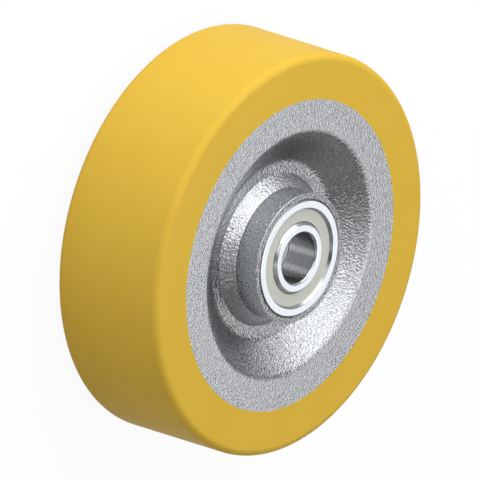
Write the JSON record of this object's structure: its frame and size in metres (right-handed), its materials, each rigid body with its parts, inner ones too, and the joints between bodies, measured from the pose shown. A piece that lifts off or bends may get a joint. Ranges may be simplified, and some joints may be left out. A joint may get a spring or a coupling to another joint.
{
  "type": "castor wheel",
  "caption": "Heavy-duty castor wheel: a yellow polyurethane tread on a silver-painted cast iron centre, turning on shielded ball bearings.",
  "frame": {"origin": "middle of the wheel, on its axle line and halfway along its hub", "axes": "+Z along the axle. The wheel lies flat on its lower hub end, as a loose wheel is put down. The wheel is round, so +X and +Y have no mark on it; the first ball of each bearing is at +X."},
  "size_m": [0.16, 0.16, 0.06],
  "materials": {
    "tread": "satin",
    "wheel_centre": "satin",
    "bearing_rings": "satin",
    "shields": "matte",
    "cage": "satin",
    "balls": "polished",
    "spacer_tube": "satin"
  },
  "bodies": {
    "bearing_core": {"upper_bearing_inner_ring": "bearing_rings", "spacer_tube": "spacer_tube", "lower_bearing_inner_ring": "bearing_rings"},
    "wheel": {"tread": "tread", "wheel_centre": "wheel_centre", "upper_bearing_outer_ring": "bearing_rings", "upper_bearing_outboard_shield": "shields", "upper_bearing_inboard_shield": "shields", "lower_bearing_outer_ring": "bearing_rings", "lower_bearing_outboard_shield": "shields", "lower_bearing_inboard_shield": "shields"},
    "upper_cage": {"upper_bearing_cage_outboard_half": "cage", "upper_bearing_cage_inboard_half": "cage", "upper_bearing_cage_rivets": "cage", "upper_bearing_ball_1": "balls", "upper_bearing_ball_2": "balls", "upper_bearing_ball_3": "balls", "upper_bearing_ball_4": "balls", "upper_bearing_ball_5": "balls", "upper_bearing_ball_6": "balls", "upper_bearing_ball_7": "balls", "upper_bearing_ball_8": "balls"},
    "lower_cage": {"lower_bearing_cage_outboard_half": "cage", "lower_bearing_cage_inboard_half": "cage", "lower_bearing_cage_rivets": "cage", "lower_bearing_ball_1": "balls", "lower_bearing_ball_2": "balls", "lower_bearing_ball_3": "balls", "lower_bearing_ball_4": "balls", "lower_bearing_ball_5": "balls", "lower_bearing_ball_6": "balls", "lower_bearing_ball_7": "balls", "lower_bearing_ball_8": "balls"}
  },
  "joints": [
    {"name": "wheel_spin", "type": "hinge", "parent": "bearing_core", "child": "wheel", "pos_m": [0, 0, 0], "axis": [0, 0, 1], "continuous": true},
    {"name": "upper_cage_spin", "type": "hinge", "parent": "bearing_core", "child": "upper_cage", "pos_m": [0, 0, 0], "axis": [0, 0, 1], "continuous": true},
    {"name": "lower_cage_spin", "type": "hinge", "parent": "bearing_core", "child": "lower_cage", "pos_m": [0, 0, 0], "axis": [0, 0, 1], "continuous": true}
  ],
  "couplings": [
    {"joint": "upper_cage_spin", "follows": "wheel_spin", "ratio": 0.61848},
    {"joint": "lower_cage_spin", "follows": "wheel_spin", "ratio": 0.61848}
  ]
}
